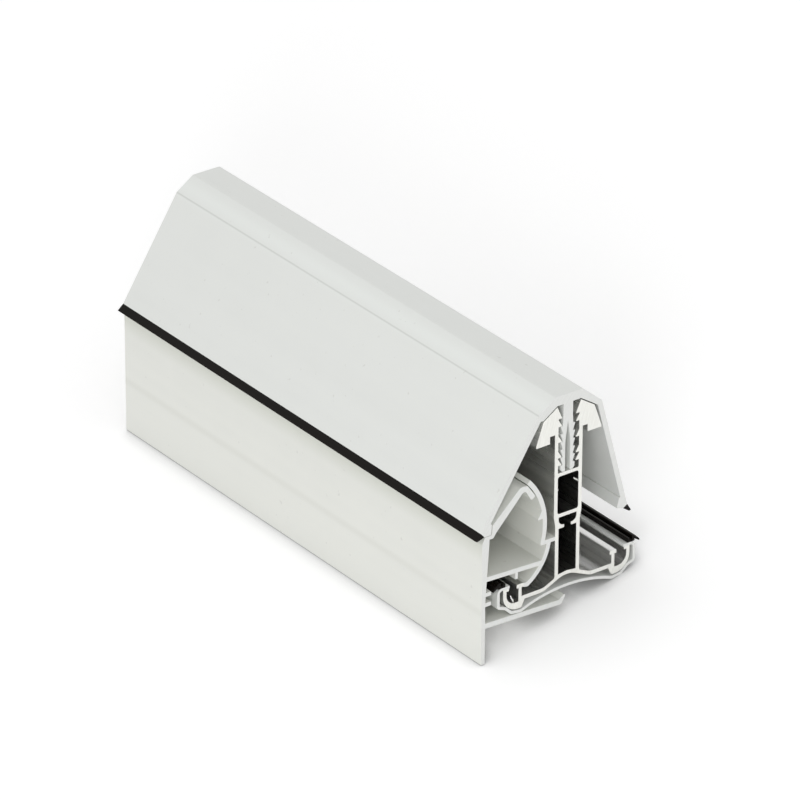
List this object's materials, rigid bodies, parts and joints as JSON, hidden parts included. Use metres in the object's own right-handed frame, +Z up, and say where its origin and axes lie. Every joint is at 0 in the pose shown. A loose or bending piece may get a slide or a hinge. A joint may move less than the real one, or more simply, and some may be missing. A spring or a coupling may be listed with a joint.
{
  "type": "conservatory rafter bar",
  "caption": "Aluminium glazing bar with a humped base and edge grooves, a snap-in plastic top cap with soft lips, an under-cladding with gaskets and a gable closure.",
  "frame": {"origin": "middle of the bounding box at the floor", "axes": "+Y runs along the bar, away from the front cut end; +Z is up from the floor; the section leans to +X as it rests"},
  "size_m": [0.0752, 0.22, 0.0855],
  "materials": {
    "mill_aluminium": "mill finish with fine lengthwise die lines; bright saw-cut ends",
    "white_plastic": "smooth extruded white plastic with a soft sheen",
    "black_rubber": "soft black extruded sealing strip"
  },
  "bodies": {
    "root": {"aluminium_bar": "mill_aluminium", "top_cap": "white_plastic", "cap_lip_left": "black_rubber", "cap_lip_right": "black_rubber", "under_cladding": "white_plastic", "cladding_gasket_left": "black_rubber", "cladding_gasket_right": "black_rubber", "gable_closure": "white_plastic"}
  },
  "joints": []
}
